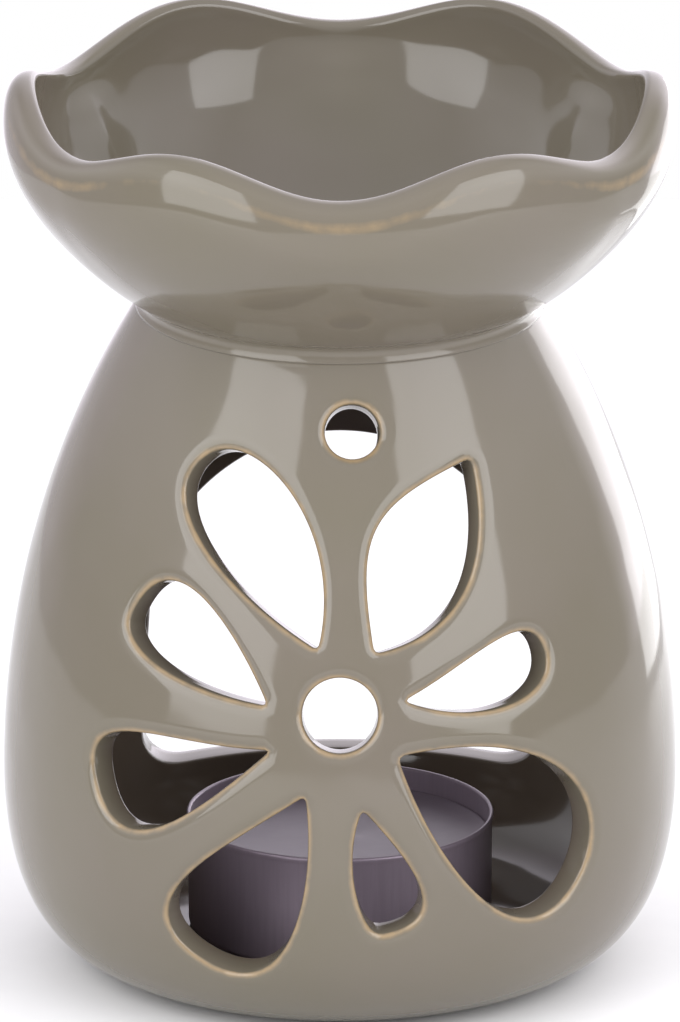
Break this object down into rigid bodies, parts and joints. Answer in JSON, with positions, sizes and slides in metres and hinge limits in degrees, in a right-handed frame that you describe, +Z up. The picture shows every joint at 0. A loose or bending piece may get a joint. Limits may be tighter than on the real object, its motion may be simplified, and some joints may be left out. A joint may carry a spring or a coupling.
{
  "type": "essential oil burner",
  "caption": "Pear-shaped glazed ceramic oil burner: a stand pierced with a flower of petals, a loose wavy-rimmed oil dish on top and a tealight inside behind an arched rear opening.",
  "frame": {"origin": "middle of the foot, on the surface that the stand rests on", "axes": "+Z up, -Y the pierced front, +Y the arched opening at the back"},
  "size_m": [0.083, 0.083, 0.113],
  "materials": {
    "stand_glaze": "glossy grey-beige glaze that breaks to tan on the edges",
    "dish_glaze": "glossy grey-beige glaze that breaks to tan on the rim",
    "cup_foil": "drawn foil",
    "wax": "satin candle wax",
    "wick_cotton": "waxed braided cotton",
    "sustainer_steel": "tinned sheet"
  },
  "bodies": {
    "stand": {"stand": "stand_glaze"},
    "dish": {"dish": "dish_glaze"},
    "tealight": {"tealight_cup": "cup_foil", "tealight_wax": "wax", "wick": "wick_cotton", "wick_sustainer": "sustainer_steel"}
  },
  "joints": [
    {"name": "dish_lift", "type": "slide", "parent": "stand", "child": "dish", "axis": [0, 0, 1], "range_m": [0, 0.04]},
    {"name": "tealight_slide", "type": "slide", "parent": "stand", "child": "tealight", "axis": [0, 0.8788, 0.4772], "range_m": [0, 0.085]}
  ]
}
